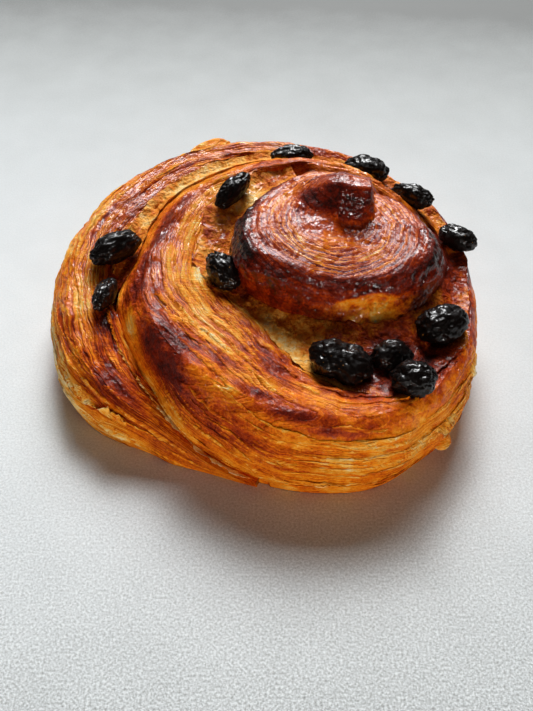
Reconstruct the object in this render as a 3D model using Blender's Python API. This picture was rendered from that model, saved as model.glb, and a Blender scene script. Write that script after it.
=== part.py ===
"""Pain aux raisins: one spiral of laminated dough, its custard layer and twelve raisins.

Run with blender --background --python part.py. The part rests on z = 0, under the middle of
its outline, and the camera side is -Y. Angles are degrees round the spiral's centre, from +X
towards +Y, and they keep growing as the dough winds outwards.
"""

import math

import bmesh
import bpy
import numpy as np
from mathutils import Matrix, Vector, noise

MM = 0.001

# Stations and gaps
STEP = 6
GAP = 0.3 * MM
EDGE_GAP = 0.6 * MM
SLIT_WIDTH = 2.4 * MM
OUTER_SLIT_WIDTH = 1.6 * MM
NARROWING_START = 380
NARROWING_END = 450
SEAM_WIDTH = 0.6 * MM
SEAM_DEPTH = 0.5 * MM
SEAM_OVERLAP = 2.5 * MM
SPIRAL_CENTRE = Vector((20.17, 0.3, 0)) * MM

# Outer turn of dough, at every 22.5 degrees from 0
OUTLINE_ANGLES = np.linspace(0, 360, 17)
OUTLINE_RADII = [37.6, 39.6, 42, 47.2, 54, 63.2, 72.5, 77, 79, 77.8, 65.8, 60.4, 59.4,
                 54.4, 48, 41.4, 37.6]
WIDEST_HEIGHT = 11 * MM
WIDEST_SHARE = 0.45
UNDERCUT = 3 * MM
BESIDE_SLOPE = 0.7

# Slit with the custard, from where it opens behind the crown to the tucked-in tail
SLIT_ANGLES = [90, 135, 180, 225, 270, 315, 360, 405, 450, 495, 515, 533, 553, 585, 612]
SLIT_RADII = [24.5, 28.4, 29.8, 26.8, 31.3, 35.5, 32.8, 32.4, 42, 52.3, 54.8, 55.4, 60.6, 59, 57]
FLOOR_ANGLES = [90, 135, 180, 225, 270, 315, 360, 405, 450, 495, 540, 570, 585, 600, 612]
FLOOR_HEIGHTS = [38, 34.5, 28.5, 26, 24.5, 24, 26, 28, 28.5, 27.5, 23, 15, 9, 3.5, 1.2]
OUTER_LIP_ANGLES = [90, 135, 180, 215, 250, 280, 315, 345, 380, 410, 450, 490, 540, 570, 612]
OUTER_LIPS = [0, 4.5, 5, 1.5, 5, 11, 4.5, 1.2, 1, 2.5, 1.2, 1.5, 2, 0.5, 0.2]
INNER_LIP_ANGLES = [90, 205, 225, 270, 300, 325, 345, 370, 612]
INNER_LIPS = [0, 0, 1, 5.9, 7, 6, 3, 0, 0]
INNER_RISE = 3.6 * MM
LIP_DEPTH = 3.5 * MM
LIP_SHARE = 0.6
INNER_LIP_SHARE = 0.4
WIDE_LIP = 3 * MM
FOOT_MARGIN = 1 * MM
EDGE_MARGIN = 0.2 * MM

# Strip of dough, from where it leaves the crown to its tail
STRIP_START = 15
STRIP_END = 609
TAIL_START = 545
TAIL_TIP_START = 585
TAIL_WIDTH = 1.2 * MM
SMOOTHING_START = 560
STOUT_WIDTH = 14 * MM
RIDGE_ANGLES = [15, 60, 90, 110, 130, 150, 180, 225, 270, 315, 360, 405, 450, 480, 510, 540,
                570, 590, 612]
RIDGE_RADII = [24, 24.5, 27, 31, 36.5, 43.5, 48, 53.5, 53, 43.3, 35.6, 37, 47, 59, 66.5, 70.5,
               69, 62, 59.6]
TOP_ANGLES = [15, 30, 45, 90, 120, 150, 180, 225, 270, 315, 360, 405, 450, 495, 540, 570, 585,
              600, 612]
TOP_HEIGHTS = [28.5, 33, 36.8, 39.5, 37.5, 33.5, 31, 29.5, 27.5, 25.5, 26, 28.5, 30, 29, 25.5, 19, 12,
               5, 1.6]
SUNK_DEPTH = 3 * MM
SUNK_END = 32
CLEARING_START = 215
CLEARING_END = 250
HIDDEN_INSET = 8 * MM
HIDDEN_DROP = 12 * MM
PARTING_ANGLE = 100
PARTED_ANGLE = 108
EDGE_SHARE = 0.4
BULGE_START = 150
COVERED_BULGE = 0.3
FREE_BULGE = 0.8
CUSTARD_START = 112
CUSTARD_END = 566
SEAM_START = 573

# Crown in the middle, with the knob where the strip begins
RIM_ANGLES = [0, 30, 57, 82, 100, 141, 175, 200, 225, 245, 275, 307, 326, 340, 360]
RIM_RADII = [26.8, 23, 21.5, 23, 24, 25.4, 27.8, 28.4, 25, 23, 21.7, 24, 27.2, 28.4, 26.8]
RIM_HEIGHT_ANGLES = np.linspace(0, 360, 9)
RIM_HEIGHTS = [38, 38, 39, 40, 40, 39.5, 38.5, 37.5, 38]
CROWN_RISE = 3 * MM
RIM_DROP = 6 * MM
FLAT_SHARE = 0.76
WALL_ROUGHNESS = 0.6
JOINING_START = 8
JOINING_END = 60
KNOB_HEIGHT = 8.5 * MM
KNOB_START = -14 * MM
KNOB_TOP = 3 * MM
KNOB_CLIFF = 8.2 * MM
KNOB_CLIFF_WIDTH = 2 * MM
KNOB_CREST = 3.7 * MM
KNOB_CURL = 0.02 / MM
KNOB_FOOT = -1.6 * MM
KNOB_BACK = 8 * MM
KNOB_FLAT = 3 * MM

# Relief of the layers
LAYER_SPACING = 5 * MM
LAYER_DEPTH = 0.5 * MM
LAYER_WANDER = 0.5
WANDER_SCALE = 0.7
WANDER_PLACE = Vector((7, 3, 1))
LUMP_SIZE = 11 * MM
LUMP_DEPTH = 0.7 * MM

# Flakes of crust: angle, radius, height, length, reach, thickness, tilt
FLAKES = [
    (301, 50.5, 5.5, 5.5, 7, 1.8, 40),
    (124, 64.5, 25, 14, 7, 1.8, -28),
    (198, 76, 9, 16, 7, 2, -70),
]

# Raisins: angle, radius, height, length, width, thickness, turn, tilt, waist
RAISINS = [
    (269, 36.8, 27.5, 15, 11.5, 9.5, -20, 10, 0.18),
    (289.5, 36.2, 26.5, 9.5, 8, 8, 5, 0, 0),
    (291, 45.8, 28, 10.5, 8.5, 8, -5, 0, 0),
    (316, 35.6, 28, 12.5, 9.5, 9, 20, 0, 0),
    (195, 30.9, 30.5, 11, 7.5, 8, -55, 15, 0),
    (146, 33.5, 36.3, 12, 5.5, 6, 48, -15, 0),
    (536, 60, 28, 14.5, 7.5, 7.5, 37, 0, 0),
    (550, 62, 25, 11.5, 5, 6, 76, 10, 0),
    (465, 42.5, 31.8, 11.5, 6.5, 5.5, 5, 0, 0),
    (433, 34.8, 32.2, 12.5, 9, 7.5, -10, 0, 0),
    (403, 30.5, 32.5, 11.5, 6.5, 6.5, -25, 0, 0),
    (370, 34, 30, 10.5, 6.5, 6, -30, 0, 0),
]
RAISIN_SIDES = 12
RAISIN_RINGS = 8
WRINKLE_DEPTH = 0.13
WRINKLE_SCALE = 2.6
SEED_SCALE = 0.37
WAIST_WIDTH = 0.3
POCKET_SWELL = 1.2 * GAP


def ease(value, start, end):
    """0 at start, 1 at end, smooth between."""
    share = float(np.clip((value - start) / (end - start), 0, 1))
    return share * share * (3 - 2 * share)


def mix(first, second, share):
    return first + (second - first) * share


def through(angles, values):
    """A function of the angle that runs smoothly through the values, given in millimetres."""
    knots = np.asarray(angles, float)
    heights = np.asarray(values, float) * MM
    spans = np.diff(knots)
    slopes = np.diff(heights) / spans
    before = np.concatenate([slopes[:1], slopes])
    after = np.concatenate([slopes, slopes[-1:]])
    least = np.minimum(abs(before), abs(after))
    bends = np.where(before * after > 0, np.sign(before) * least, 0)

    def value(angle):
        i = int(np.clip(np.searchsorted(knots, angle, side="right") - 1, 0, len(spans) - 1))
        t = float(np.clip((angle - knots[i]) / spans[i], 0, 1))
        start = heights[i] + bends[i] * spans[i] * t
        end = heights[i + 1] - bends[i + 1] * spans[i] * (1 - t)
        return mix(start, end, t * t * (3 - 2 * t))

    return value


slit_radius = through(SLIT_ANGLES, SLIT_RADII)
floor_height = through(FLOOR_ANGLES, FLOOR_HEIGHTS)
outer_lip = through(OUTER_LIP_ANGLES, OUTER_LIPS)
inner_lip = through(INNER_LIP_ANGLES, INNER_LIPS)
ridge_radius = through(RIDGE_ANGLES, RIDGE_RADII)
ridge_height = through(TOP_ANGLES, TOP_HEIGHTS)
outline_radius = through(OUTLINE_ANGLES, OUTLINE_RADII)
rim_radius = through(RIM_ANGLES, RIM_RADII)
rim_height = through(RIM_HEIGHT_ANGLES, RIM_HEIGHTS)


def at(angle, radius, height):
    """The point of space at a radius from the spiral's centre."""
    turn = math.radians(angle)
    return SPIRAL_CENTRE + Vector((radius * math.cos(turn), radius * math.sin(turn), height))


def relief(point, along):
    """Height of the layers' edges and of the dough's lumps at a point."""
    place = (point - SPIRAL_CENTRE) / LUMP_SIZE
    lump = noise.noise(place)
    shift = LAYER_WANDER * noise.noise(WANDER_SCALE * place + WANDER_PLACE)
    layer = math.sin(2 * math.pi * (along / LAYER_SPACING + shift))
    return LUMP_DEPTH * lump + LAYER_DEPTH * layer


def slit_side(angle):
    """Half the slit's width: it narrows outwards and closes to a seam where the tail tucks in."""
    narrow = ease(angle, NARROWING_START, NARROWING_END)
    open_width = mix(SLIT_WIDTH, OUTER_SLIT_WIDTH, narrow)
    return mix(open_width, SEAM_WIDTH, ease(angle, CUSTARD_END, SEAM_START)) / 2


def beside_limit(angle, height):
    """Largest radius the strip may have at a height, so that it clears the slit round it."""
    if angle + 360 > SLIT_ANGLES[-1]:
        return math.inf
    over = max(0, height - floor_height(angle + 360))
    return slit_radius(angle + 360) - slit_side(angle + 360) + BESIDE_SLOPE * over


def strip_outside(angle):
    """Widest radius of the strip at an angle, its height and how far it draws in below."""
    tail = ease(angle, TAIL_START, STRIP_END)
    if angle + 360 > SLIT_ANGLES[-1]:
        tip = slit_radius(angle) + TAIL_WIDTH
        widest = mix(outline_radius(angle % 360), tip, ease(angle, TAIL_TIP_START, STRIP_END))
        height = min(WIDEST_HEIGHT, WIDEST_SHARE * ridge_height(angle))
        thickness = widest - slit_radius(angle)
        return widest, height, min(UNDERCUT * (1 - tail), thickness / 3)
    beside = slit_radius(angle + 360) - slit_side(angle + 360)
    sunk = SUNK_DEPTH * (1 - ease(angle, STRIP_START, SUNK_END))
    free = ease(angle, CLEARING_START, CLEARING_END)
    radius = mix(beside - sunk, outline_radius(angle % 360), free)
    height = max(floor_height(angle + 360) - FOOT_MARGIN, WIDEST_HEIGHT)
    return radius, height, UNDERCUT * free


def strip_inside(angle):
    """The strip's inner edge as radius and height, and the radius of its wall below."""
    ridge, top = ridge_radius(angle), ridge_height(angle)
    hidden = (ridge - HIDDEN_INSET, top - HIDDEN_DROP, ridge - HIDDEN_INSET)
    wall = slit_radius(angle) + slit_side(angle)
    edge = min(wall + outer_lip(angle), mix(ridge, wall, EDGE_SHARE))
    free = ease(angle, PARTING_ANGLE, PARTED_ANGLE)
    shown = (edge, min(floor_height(angle), top - EDGE_MARGIN), wall)
    return tuple(mix(a, b, free) for a, b in zip(hidden, shown))


def strip_section(angle):
    """Corners (radius, height) round the strip's cut at an angle, each with its share of relief."""
    ridge, top = ridge_radius(angle), ridge_height(angle)
    widest, widest_height, undercut = strip_outside(angle)
    edge, edge_height, wall = strip_inside(angle)
    smooth = ease(angle, SMOOTHING_START, STRIP_END)
    rough = (1 - smooth) * min(1, (widest - wall) / STOUT_WIDTH)
    corners = []
    corners.append((wall, 0, 0))
    corners.append((mix(wall, widest - undercut, 0.5), 0, 0))
    for t in np.arange(4) / 4:
        height = widest_height * t
        radius = widest - undercut * (1 - math.sin(t * math.pi / 2))
        radius = min(radius, beside_limit(angle, height))
        corners.append((radius, height, t * undercut / UNDERCUT * rough))
    bulge = mix(COVERED_BULGE, FREE_BULGE, ease(angle, BULGE_START, CLEARING_END))
    for t in np.arange(8) / 8:
        turn = t * math.pi / 2
        radius = mix(mix(widest, ridge, t), mix(ridge, widest, math.cos(turn)), bulge)
        height = mix(widest_height, top, mix(t, math.sin(turn), bulge))
        corners.append((radius, height, max(min(1, 2 * t), undercut / UNDERCUT) * rough))
    for t in np.arange(11) / 11:
        turn = t * math.pi / 2
        radius = ridge - (ridge - edge) * math.sin(turn)
        height = edge_height + (top - edge_height) * math.cos(turn)
        corners.append((radius, height, min(1, 3 * (1 - t)) * rough))
    deep = max(edge_height - LIP_DEPTH, LIP_SHARE * edge_height)
    corners.append((edge, edge_height, 0))
    for t in np.arange(3) / 3:
        corners.append((wall, deep * (1 - t), 0))
    return corners


def winding(angle):
    """The spiral angle of the slit that runs past the crown at an angle."""
    turn = angle % 360
    return turn if turn >= PARTING_ANGLE else turn + 360


def crown_wall(angle):
    """Radius of the crown's buried wall."""
    turn = angle % 360
    if turn >= PARTING_ANGLE:
        return slit_radius(turn) - SLIT_WIDTH / 2
    share = ease(turn, JOINING_START, JOINING_END)
    return mix(slit_radius(360), slit_radius(PARTING_ANGLE), share) - SLIT_WIDTH / 2


def crown_foot(angle):
    """Radius and height where the crown's shown wall meets the custard."""
    lip = inner_lip(winding(angle))
    rise = INNER_RISE * lip / max(INNER_LIPS) / MM
    return crown_wall(angle) - lip, floor_height(winding(angle)) + rise


def knob_height(angle, radius):
    """How far the strip's inner end stands up over the crown."""
    x = radius * math.cos(math.radians(angle))
    y = radius * math.sin(math.radians(angle))
    crest = KNOB_CREST + KNOB_CURL * (KNOB_CLIFF - x) ** 2
    rise = ease(x, KNOB_START, KNOB_TOP)
    cliff = 1 - ease(x, KNOB_CLIFF, KNOB_CLIFF + KNOB_CLIFF_WIDTH)
    back = max(0, y - crest - KNOB_FLAT) / KNOB_BACK
    return KNOB_HEIGHT * rise * cliff * math.exp(-(back**2)) * ease(y, KNOB_FOOT, crest)


def crown_top(angle, share):
    """Height of the crown at a share of its rim's radius."""
    dome = CROWN_RISE * (1 - share**2)
    return rim_height(angle % 360) + dome + knob_height(angle, share * rim_radius(angle % 360))


def crown_section(angle):
    """Corners from the crown's base up its wall and over the rim towards the middle."""
    rim = rim_radius(angle % 360)
    rim_base = rim_height(angle % 360) - RIM_DROP
    foot, foot_height = crown_foot(angle)
    wall = crown_wall(angle)
    deep = min(floor_height(winding(angle)) - LIP_DEPTH, foot_height - FOOT_MARGIN)
    corners = [(wall, 0, 0), (wall, deep, 0), (foot, foot_height, 0)]
    for t in (0.35, 0.7):
        corners.append((mix(foot, rim, t), mix(foot_height, rim_base, t), WALL_ROUGHNESS * t))
    shoulder, flat = FLAT_SHARE * rim, crown_top(angle, FLAT_SHARE)
    for t in (0, 1 / 3, 2 / 3):
        turn = t * math.pi / 2
        radius = mix(shoulder, rim, math.cos(turn))
        corners.append((radius, mix(rim_base, flat, math.sin(turn)), 1))
    for share in np.arange(9, 0, -1) / 9 * FLAT_SHARE:
        rough = min(1, 3 * share) * (1 - knob_height(angle, share * rim) / KNOB_HEIGHT)
        corners.append((share * rim, crown_top(angle, share), rough))
    return corners


def custard_section(angle):
    """Corners round the custard's cut: a sheet down the slit, spread over both lips at the top."""
    middle, side = slit_radius(angle), slit_side(angle)
    half = side - GAP
    edge, edge_height, _ = strip_inside(angle)
    lip = inner_lip(angle)
    foot = middle - side - lip
    foot_height = floor_height(angle) + INNER_RISE * lip / max(INNER_LIPS) / MM
    deep = max(edge_height - LIP_DEPTH, LIP_SHARE * edge_height)
    deep_inside = min(floor_height(angle) - LIP_DEPTH, foot_height - FOOT_MARGIN)
    deep_inside = max(deep_inside, INNER_LIP_SHARE * foot_height)
    inner = Vector((foot, foot_height)) + EDGE_GAP * slope_normal(
        -lip, foot_height - deep_inside
    )
    bottom_inside = Vector((middle - half, deep_inside + GAP))
    inner = inner.lerp(bottom_inside, 0.1)
    outer = Vector((edge, edge_height)) + GAP * slope_normal(
        edge - middle - side, edge_height - deep
    )
    corners = [
        (middle - half, GAP, 0),
        (middle + half, GAP, 0),
        (middle + half, deep + GAP, 0),
        (outer.x, outer.y, 0),
    ]
    for t in (0.25, 0.5, 0.75):
        height = outer.y + (inner.y - outer.y) * t**2
        corners.append((mix(outer.x, inner.x, t), height, min(1, lip / WIDE_LIP)))
    corners.append((inner.x, inner.y, 0))
    corners.append((bottom_inside.x, bottom_inside.y, 0))
    return corners


def seam_section(angle):
    """Corners of the dough that closes the slit below the seam's groove."""
    inside = slit_radius(angle) - SEAM_OVERLAP
    outside = slit_radius(angle) + 2 * slit_side(angle)
    height = max(floor_height(angle) - SEAM_DEPTH, 0.5 * floor_height(angle))
    return [(inside, GAP, 0), (outside, GAP, 0), (outside, height, 0), (inside, height, 0)]


def slope_normal(run, rise):
    """Unit vector square to a slope, on its upper side and towards the slit."""
    normal = Vector((-rise if run > 0 else rise, abs(run)))
    return normal.normalized()


def grid_of(section, angles):
    """Points and shares of relief of a section taken at each angle."""
    cuts = [section(angle) for angle in angles]
    points = [[at(angle, r, z) for r, z, _ in cut] for angle, cut in zip(angles, cuts)]
    return np.array(points), np.array([[share for _, _, share in cut] for cut in cuts])


def central(grid, axis, closed):
    if closed:
        return np.roll(grid, -1, axis) - np.roll(grid, 1, axis)
    return np.gradient(grid, axis=axis)


def add_relief(grid, shares, angles, crest, turns_closed):
    """Moves each point out along the surface by the relief there, in lines along the crest."""
    along = central(grid, 0, turns_closed)
    across = central(grid, 1, not turns_closed)
    normals = np.cross(along, across)
    normals /= np.linalg.norm(normals, axis=2, keepdims=True) + 1e-12
    steps = np.linalg.norm(np.diff(grid, axis=1), axis=2)
    lengths = np.concatenate([np.zeros((len(grid), 1)), np.cumsum(steps, axis=1)], axis=1)
    lengths -= lengths[:, crest : crest + 1]
    lengths += LAYER_SPACING * np.asarray(angles)[:, None] / 360
    for i, j in np.argwhere(shares > 0):
        height = relief(Vector(grid[i, j]), lengths[i, j])
        grid[i, j] += normals[i, j] * shares[i, j] * height


def loft(name, grid, turns_closed):
    """A closed mesh through a grid of stations by corners."""
    stations, corners = grid.shape[:2]
    shape = bmesh.new()
    rows = [[shape.verts.new(point) for point in row] for row in grid]
    for i in range(stations if turns_closed else stations - 1):
        for j in range(corners - 1 if turns_closed else corners):
            here, beyond = rows[i], rows[(i + 1) % stations]
            k = (j + 1) % corners
            shape.faces.new((here[j], beyond[j], beyond[k], here[k]))
    ends = bmesh.ops.holes_fill(shape, edges=shape.edges, sides=0)["faces"]
    if turns_closed:
        bmesh.ops.poke(shape, faces=ends)
    bmesh.ops.recalc_face_normals(shape, faces=shape.faces)
    return as_object(name, shape)


def as_object(name, shape):
    mesh = bpy.data.meshes.new(name)
    shape.to_mesh(mesh)
    shape.free()
    return bpy.data.objects.new(name, mesh)


def crown():
    """The middle of the spiral, one round piece from its base to the knob."""
    angles = np.arange(0, 360, STEP)
    grid, shares = grid_of(crown_section, angles)
    add_relief(grid, shares, angles, crest=5, turns_closed=True)
    return loft("crown", grid, turns_closed=True)


def strip():
    """The dough that winds out from the crown, in cuts that follow its ridge."""
    angles = list(range(STRIP_START + 3, STRIP_END, STEP)) + [STRIP_END]
    grid, shares = grid_of(strip_section, angles)
    shares *= np.array([[ease(angle, STRIP_START, STRIP_START + 30)] for angle in angles])
    add_relief(grid, shares, angles, crest=14, turns_closed=False)
    return loft("strip", grid, turns_closed=False)


def seam():
    """The dough of the tail where it has baked to the turn inside it."""
    angles = list(range(SEAM_START, STRIP_END, STEP))
    return loft("seam", grid_of(seam_section, angles)[0], turns_closed=False)


def custard():
    """The custard sheet, in the slit from its opening to the tail."""
    angles = list(range(CUSTARD_START, CUSTARD_END, STEP)) + [CUSTARD_END]
    grid, shares = grid_of(custard_section, angles)
    add_relief(grid, shares, angles, crest=3, turns_closed=False)
    return loft("custard", grid, turns_closed=False)


def flake(angle, radius, height, length, reach, thickness, tilt):
    """A thin scale of crust that stands off the dough."""
    shape = bmesh.new()
    bmesh.ops.create_uvsphere(shape, u_segments=8, v_segments=4, radius=0.5)
    size = Matrix.Diagonal((reach * MM, length * MM, thickness * MM, 1))
    lean = Matrix.Rotation(math.radians(tilt), 4, "Y")
    turn = Matrix.Rotation(math.radians(angle), 4, "Z")
    place = Matrix.Translation(at(angle, radius * MM, height * MM))
    bmesh.ops.transform(shape, matrix=place @ turn @ lean @ size, verts=shape.verts)
    return as_object("flake", shape)


def raisin(name, measures, swell):
    """A wrinkled raisin, or the same shape a little larger to cut its pocket."""
    angle, radius, height, length, width, thickness, turn, tilt, waist = measures
    shape = bmesh.new()
    bmesh.ops.create_uvsphere(
        shape, u_segments=RAISIN_SIDES, v_segments=RAISIN_RINGS, radius=1,
        matrix=Matrix.Rotation(math.pi / 2, 4, "Y"),
    )
    half = Vector((length, width, thickness)) * MM / 2
    seed = Vector((angle, radius, 0)) * SEED_SCALE
    for vert in shape.verts:
        normal = vert.co.normalized()
        wrinkle = 1 + WRINKLE_DEPTH * noise.noise(normal * WRINKLE_SCALE + seed)
        pinch = 1 - waist * math.exp(-((normal.x / WAIST_WIDTH) ** 2))
        vert.co = Vector((normal.x, normal.y * pinch, normal.z * pinch)) * wrinkle * half
    shape.normal_update()
    for vert, normal in [(vert, vert.normal.copy()) for vert in shape.verts]:
        vert.co += normal * swell
    spin = Matrix.Rotation(math.radians(turn), 4, "Z") @ Matrix.Rotation(
        math.radians(tilt), 4, "Y"
    )
    place = Matrix.Translation(at(angle, radius * MM, height * MM))
    bmesh.ops.transform(shape, matrix=place @ spin, verts=shape.verts)
    bmesh.ops.recalc_face_normals(shape, faces=shape.faces)
    return as_object(name, shape)


def collection(name):
    group = bpy.data.collections.new(name)
    bpy.context.scene.collection.children.link(group)
    return group


def keep_largest(mesh):
    """Drops the loose scraps and the sealed hollows that joining leaves in a mesh."""
    shape = bmesh.new()
    shape.from_mesh(mesh)
    unseen = set(shape.verts)
    bodies = []
    while unseen:
        fresh = [unseen.pop()]
        body = []
        while fresh:
            vert = fresh.pop()
            body.append(vert)
            beside = {edge.other_vert(vert) for edge in vert.link_edges} & unseen
            unseen -= beside
            fresh.extend(beside)
        bodies.append(body)
    bodies.sort(key=len)
    loose = [vert for body in bodies[:-1] for vert in body]
    bmesh.ops.delete(shape, geom=loose, context="VERTS")
    shape.to_mesh(mesh)
    shape.free()


def joined(name, pieces):
    """The pieces made one solid."""
    group = collection("joining")
    body = pieces[0]
    bpy.context.scene.collection.objects.link(body)
    for piece in pieces[1:]:
        group.objects.link(piece)
    union = body.modifiers.new("union", "BOOLEAN")
    union.operation = "UNION"
    union.operand_type = "COLLECTION"
    union.collection = group
    graph = bpy.context.evaluated_depsgraph_get()
    mesh = bpy.data.meshes.new_from_object(body.evaluated_get(graph))
    mesh.name = name
    keep_largest(mesh)
    for piece in pieces:
        bpy.data.objects.remove(piece)
    bpy.data.collections.remove(group)
    return bpy.data.objects.new(name, mesh)


def cut_pockets(body, cutters):
    """Takes the raisins' room out of a body."""
    pockets = body.modifiers.new("pockets", "BOOLEAN")
    pockets.operation = "DIFFERENCE"
    pockets.operand_type = "COLLECTION"
    pockets.collection = cutters


def material(name, colour, roughness):
    made = bpy.data.materials.new(name)
    made.use_nodes = True
    shader = made.node_tree.nodes["Principled BSDF"]
    shader.inputs["Base Color"].default_value = (*colour, 1)
    shader.inputs["Roughness"].default_value = roughness
    shader.inputs["Metallic"].default_value = 0
    return made


def main():
    for thing in list(bpy.data.objects):
        bpy.data.objects.remove(thing)
    parts = collection("pain aux raisins")
    cutters = collection("cutters")
    fruit_skin = material("raisin skin", (0.012, 0.008, 0.008), 0.3)
    for number, measures in enumerate(RAISINS, 1):
        fruit = raisin(f"raisin_{number:02d}", measures, swell=0)
        fruit.data.materials.append(fruit_skin)
        parts.objects.link(fruit)
        cutter = raisin(f"pocket_{number:02d}", measures, swell=POCKET_SWELL)
        cutter.hide_render = True
        cutter.display_type = "WIRE"
        cutters.objects.link(cutter)
    flakes = [flake(*measures) for measures in FLAKES]
    dough = joined("dough", [strip(), crown(), seam()] + flakes)
    dough.data.materials.append(material("baked dough", (0.46, 0.16, 0.03), 0.35))
    filling = custard()
    filling.data.materials.append(material("custard", (0.62, 0.38, 0.1), 0.4))
    for body in (dough, filling):
        parts.objects.link(body)
        cut_pockets(body, cutters)


main()
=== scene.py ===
"""Looks of the pain aux raisins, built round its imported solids.

Angles are degrees that count on round the spiral's centre. Sizes are metres where nothing else is
said. The sections of dough and custard are the solids' own, and finer relief goes on top of them.
"""

import math

import bpy
import numpy as np
from mathutils import Matrix, Vector, noise


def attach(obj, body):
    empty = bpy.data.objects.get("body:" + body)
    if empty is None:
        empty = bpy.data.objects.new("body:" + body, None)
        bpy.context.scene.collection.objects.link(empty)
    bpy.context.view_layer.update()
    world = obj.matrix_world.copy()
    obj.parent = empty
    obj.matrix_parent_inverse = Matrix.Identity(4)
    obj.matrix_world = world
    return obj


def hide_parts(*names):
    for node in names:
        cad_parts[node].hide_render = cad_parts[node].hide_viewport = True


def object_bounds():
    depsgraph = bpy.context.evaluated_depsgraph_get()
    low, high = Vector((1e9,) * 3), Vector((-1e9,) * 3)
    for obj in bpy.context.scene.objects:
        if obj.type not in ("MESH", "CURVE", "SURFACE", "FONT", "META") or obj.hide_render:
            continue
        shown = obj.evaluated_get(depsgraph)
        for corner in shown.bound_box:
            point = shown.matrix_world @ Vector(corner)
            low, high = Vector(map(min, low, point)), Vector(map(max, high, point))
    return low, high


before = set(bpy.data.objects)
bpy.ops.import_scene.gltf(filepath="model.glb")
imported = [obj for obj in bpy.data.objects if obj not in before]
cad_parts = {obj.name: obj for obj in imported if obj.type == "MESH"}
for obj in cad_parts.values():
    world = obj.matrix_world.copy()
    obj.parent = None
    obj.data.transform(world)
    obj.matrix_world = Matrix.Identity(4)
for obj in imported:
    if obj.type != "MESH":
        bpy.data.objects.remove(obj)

MM = 0.001
cad_low, cad_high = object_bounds()

# Sizes shared with the solids
SLIT_WIDTH = 2.4 * MM
OUTER_SLIT_WIDTH = 1.6 * MM
SEAM_WIDTH = 0.6 * MM
GAP = 0.3 * MM
EDGE_GAP = 0.6 * MM
CENTRE = np.array([20.17, 0.3, 0]) * MM
STOUT_WIDTH = 14 * MM
WIDEST_HEIGHT = 11 * MM
WIDEST_SHARE = 0.45
UNDERCUT = 3 * MM
BESIDE_SLOPE = 0.7
INNER_RISE = 3.6 * MM
MOST_INNER_LIP = 7 * MM
WIDE_LIP = 3 * MM
LIP_DEPTH, LIP_SHARE, INNER_LIP_SHARE = 3.5 * MM, 0.6, 0.4
FOOT_MARGIN, EDGE_MARGIN = 1 * MM, 0.2 * MM
EDGE_SHARE = 0.4
STRIP_START, STRIP_END = 15, 609
NARROWING_START, NARROWING_END = 380, 450
TAIL_START, TAIL_TIP_START = 545, 585
TAIL_WIDTH = 1.2 * MM
SMOOTHING_START = 560
SUNK_DEPTH, SUNK_END = 3 * MM, 32
CLEARING_START, CLEARING_END = 215, 250
HIDDEN_INSET, HIDDEN_DROP = 8 * MM, 12 * MM
PARTING_ANGLE, PARTED_ANGLE = 100, 108
BULGE_START, COVERED_BULGE, FREE_BULGE = 150, 0.3, 0.8
CUSTARD_START, CUSTARD_END = 112, 566
SEAM_START = 573
CLOSING_START, CLOSING_END, TUCK = 546, 558, 2.6 * MM
CROWN_RISE = 3 * MM
RIM_DROP = 6 * MM
FLAT_SHARE = 0.76
WALL_ROUGHNESS = 0.6
JOINING_START, JOINING_END = 8, 60
KNOB_HEIGHT = 8.5 * MM
KNOB_START, KNOB_TOP = -14 * MM, 3 * MM
KNOB_CLIFF, KNOB_CLIFF_WIDTH = 8.2 * MM, 2 * MM
KNOB_CREST, KNOB_CURL, KNOB_FOOT = 3.7 * MM, 0.02 / MM, -1.6 * MM
KNOB_BACK, KNOB_FLAT = 8 * MM, 3 * MM
KNOB_ROUNDING = 3.2 * MM
LAYER_SPACING, LAYER_DEPTH = 5 * MM, 0.5 * MM
LAYER_WANDER, WANDER_SCALE = 0.5, 0.7
WANDER_PLACE = Vector((7, 3, 1))
LUMP_SIZE, LUMP_DEPTH = 11 * MM, 0.7 * MM
WRINKLE_DEPTH, WRINKLE_SCALE, SEED_SCALE, WAIST_WIDTH = 0.13, 2.6, 0.37, 0.3
SLIT_LAST = 612

# Shares of a raisin's size: how deep its folds go, how wide they are, and its flattened sides
FOLD_DEPTH, FOLD_WIDTH, SMALL_FOLD_DEPTH, SMALL_FOLD_WIDTH = 0.15, 0.12, 0.07, 0.13
FACETS, FACET_SHARPNESS, FACET_SIZE = 16, 9, 1.06

# Sections round the spiral, and points up and across each of them
STRIP_STATIONS, STRIP_FLANK, STRIP_SHOULDER, STRIP_FACE = 1340, 28, 96, 84
CROWN_STATIONS, CROWN_WALL, CROWN_RIM, CROWN_TOP = 540, 24, 30, 76
CUSTARD_STATIONS, CUSTARD_COLUMNS, CUSTARD_BURIED = 560, 44, 3

# How far apart the layers of the strip, the crown's rings and the knob's leaves lie and stand up
FINE_SPACING, FINE_RISE = 0.85 * MM, 0.45 * MM
BROAD_SPACING, BROAD_RISE = 2.5 * MM, 0.85 * MM
RING_SPACING, RING_RISE, RING_CLIMB = 1.5 * MM, 0.5 * MM, 5 * MM
LEAF_SPACING, LEAF_RISE = 1.7 * MM, 0.7 * MM
FOLD_RISE, BLISTER_SIZE = 0.5 * MM, 2.2 * MM
RINGS_RADIUS = 15.5 * MM

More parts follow.
